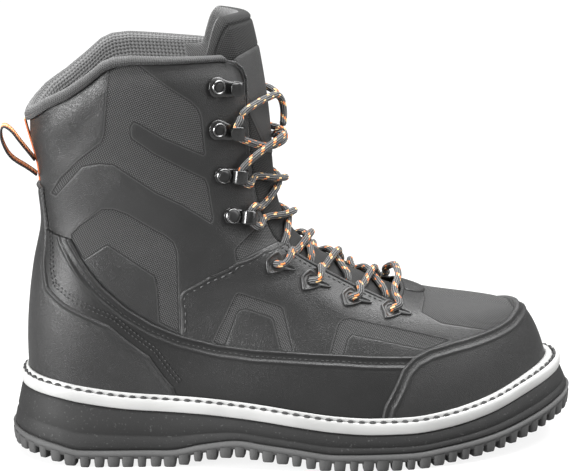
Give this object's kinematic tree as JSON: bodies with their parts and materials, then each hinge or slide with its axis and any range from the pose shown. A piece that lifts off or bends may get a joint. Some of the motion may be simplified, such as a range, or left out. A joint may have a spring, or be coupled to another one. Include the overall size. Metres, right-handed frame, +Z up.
{
  "type": "wading boot",
  "caption": "Lace-up wading boot for the right foot: hollow shaft and foot with rubber rand, toe cap and heel counter, welt, foam midsole and lugged outsole.",
  "frame": {"origin": "on the floor, at the middle of the flat lug under the heel's centre", "axes": "+X from heel to toe, +Y to the inner (medial) side of the foot, +Z up"},
  "size_m": [0.3288, 0.1233, 0.2536],
  "materials": {
    "outsole_rubber": "matte moulded rubber, mid grey",
    "midsole_foam": "near-black speckled foam",
    "welt_rubber": "satin white rubber with a dark stitch groove",
    "insole_board": "dark fabric over a board",
    "upper_leather": "fine-grained charcoal synthetic leather",
    "mesh_fabric": "tight woven charcoal mesh",
    "rand_rubber": "satin black rubberised leather",
    "cap_leather": "pebbled charcoal synthetic leather",
    "lining_mesh": "coarse dotted spacer mesh",
    "tongue_fabric": "padded mesh and smooth fabric",
    "webbing": "woven webbing with an orange stripe",
    "hook_metal": "black coated steel",
    "tab_rubber": "moulded black rubber",
    "lace_cord": "round braided cord with orange and pale flecks"
  },
  "bodies": {
    "root": {"outsole": "outsole_rubber", "midsole": "midsole_foam", "welt": "welt_rubber", "insole": "insole_board", "upper": "upper_leather", "rand_outer": "rand_rubber", "rand_inner": "rand_rubber", "heel_counter": "cap_leather", "toe_cap": "cap_leather", "collar": "lining_mesh", "tongue": "tongue_fabric", "pull_loop": "webbing", "speed_hook_outer_1": "hook_metal", "speed_hook_outer_2": "hook_metal", "speed_hook_inner_1": "hook_metal", "speed_hook_inner_2": "hook_metal", "lock_hook_outer_1": "hook_metal", "lock_hook_outer_2": "hook_metal", "lock_hook_inner_1": "hook_metal", "lock_hook_inner_2": "hook_metal", "eyelet_tab_outer_1": "tab_rubber", "eyelet_tab_outer_2": "tab_rubber", "eyelet_tab_outer_3": "tab_rubber", "eyelet_tab_outer_4": "tab_rubber", "eyelet_tab_inner_1": "tab_rubber", "eyelet_tab_inner_2": "tab_rubber", "eyelet_tab_inner_3": "tab_rubber", "eyelet_tab_inner_4": "tab_rubber", "lace_bar": "lace_cord", "lace_cross_1": "lace_cord", "lace_cross_2": "lace_cord", "lace_cross_3": "lace_cord", "lace_cross_4": "lace_cord", "lace_cross_5": "lace_cord", "lace_cross_6": "lace_cord", "lace_loop_outer": "lace_cord", "lace_loop_inner": "lace_cord"}
  },
  "joints": []
}
